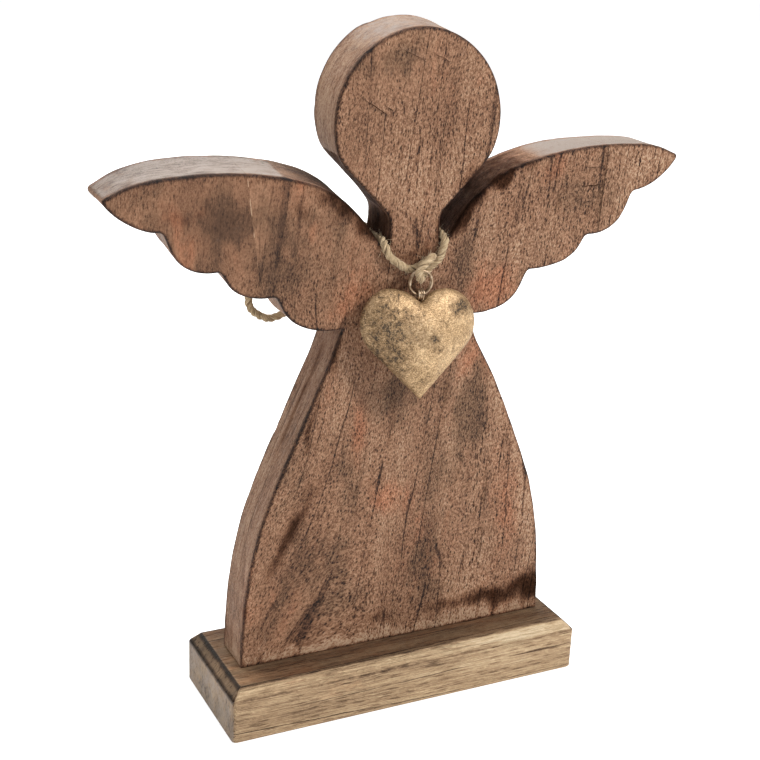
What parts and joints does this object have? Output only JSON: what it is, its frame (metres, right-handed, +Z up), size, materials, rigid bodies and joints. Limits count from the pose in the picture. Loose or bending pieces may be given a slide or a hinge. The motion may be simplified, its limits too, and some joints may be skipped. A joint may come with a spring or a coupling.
{
  "type": "angel figurine",
  "caption": "Flat wooden angel silhouette standing on a chamfered plinth, with a hollow metal heart hung from a cord tied round the neck.",
  "frame": {"origin": "centre of the plinth's flat underside", "axes": "+Z up, the angel and its heart face -Y, +X towards the viewer's right"},
  "size_m": [0.3085, 0.07, 0.35],
  "materials": {
    "plinth_wood": "waxed, weathered and worn on the arrises",
    "board_wood": "reddish brown stain, waxed, with scorched arrises",
    "wing_wood": "darker stain, waxed",
    "screw_steel": "zinc plated",
    "jute": "hairy twisted cord",
    "antique_brass": "dull",
    "antique_gold": "aged gold with dark pitting"
  },
  "bodies": {
    "figure": {"plinth": "plinth_wood", "centre_board": "board_wood", "left_wing_board": "wing_wood", "right_wing_board": "board_wood", "plinth_screw_left": "screw_steel", "plinth_screw_right": "screw_steel", "neck_cord": "jute", "bow_knot": "jute", "cord_end_left": "jute", "cord_end_right": "jute"},
    "ring": {"hanging_ring": "antique_brass"},
    "heart": {"heart_front_shell": "antique_gold", "heart_back_shell": "antique_gold", "heart_eye": "antique_brass"},
    "left_loop": {"bow_loop_left": "jute"},
    "right_loop": {"bow_loop_right": "jute"}
  },
  "joints": [
    {"name": "ring_swing", "type": "hinge", "parent": "figure", "child": "ring", "pos_m": [0.001, -0.0194, 0.23205], "axis": [0, 1, 0], "range_deg": [-40, 40]},
    {"name": "heart_lift", "type": "hinge", "parent": "ring", "child": "heart", "pos_m": [0.001, -0.0194, 0.2227], "axis": [-1, 0, 0], "range_deg": [0, 60]},
    {"name": "left_loop_droop", "type": "hinge", "parent": "figure", "child": "left_loop", "pos_m": [0, 0.018, 0.245], "axis": [0, 1, 0], "range_deg": [-34, 15]},
    {"name": "right_loop_droop", "type": "hinge", "parent": "figure", "child": "right_loop", "pos_m": [0, 0.018, 0.245], "axis": [0, 1, 0], "range_deg": [-15, 40]}
  ]
}
